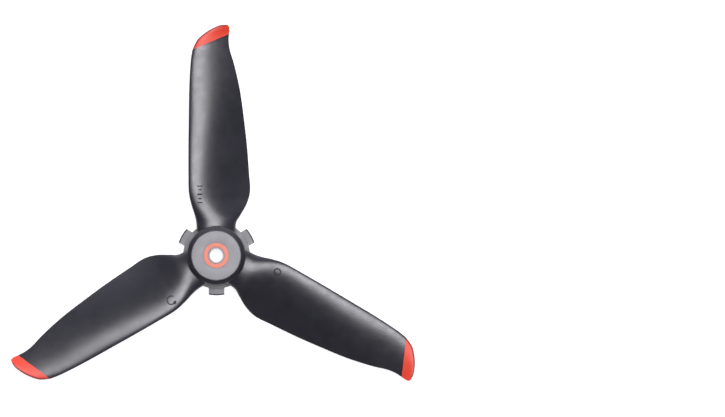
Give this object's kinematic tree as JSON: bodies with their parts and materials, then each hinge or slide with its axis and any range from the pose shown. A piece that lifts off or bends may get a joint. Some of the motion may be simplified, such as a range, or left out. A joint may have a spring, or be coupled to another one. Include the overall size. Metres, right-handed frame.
{
  "type": "quick-release propeller",
  "caption": "Flat, twisted three-blade drone propeller with coloured blade ends, a capped hub and a sprung bayonet lock base.",
  "frame": {"origin": "on the spin axis, in the face of the lock base that sits on the motor", "axes": "+Z along the spin axis, away from the motor; +Y along the first blade; the blades' leading edges meet the air when it turns counter-clockwise seen from +Z"},
  "size_m": [0.1176, 0.1038, 0.0092],
  "materials": {
    "blade_plastic": "satin moulded",
    "tip_finish": "satin",
    "cap_plastic": "matt moulded",
    "marker_finish": "matt",
    "base_plastic": "matt moulded",
    "plate_plastic": "matt moulded",
    "sleeve_steel": "turned",
    "spring_steel": "drawn wire",
    "screw_steel": "black oxide"
  },
  "bodies": {
    "rotor": {"three_blade_rotor": "blade_plastic", "blade_tip_1": "tip_finish", "blade_tip_2": "tip_finish", "blade_tip_3": "tip_finish", "hub_cap": "cap_plastic", "marker_ring": "marker_finish", "shaft_sleeve": "sleeve_steel", "lock_base": "base_plastic", "ejector_spring": "spring_steel", "base_screw_1": "screw_steel", "base_screw_2": "screw_steel", "base_screw_3": "screw_steel"},
    "ejector": {"ejector_plate": "plate_plastic"}
  },
  "joints": [
    {"name": "ejector_press", "type": "slide", "parent": "rotor", "child": "ejector", "axis": [0, 0, 1], "range_m": [0, 0.0015], "stiffness_N_per_m": 1200, "springref_m": -0.0015, "deforming": ["ejector_spring"]}
  ]
}
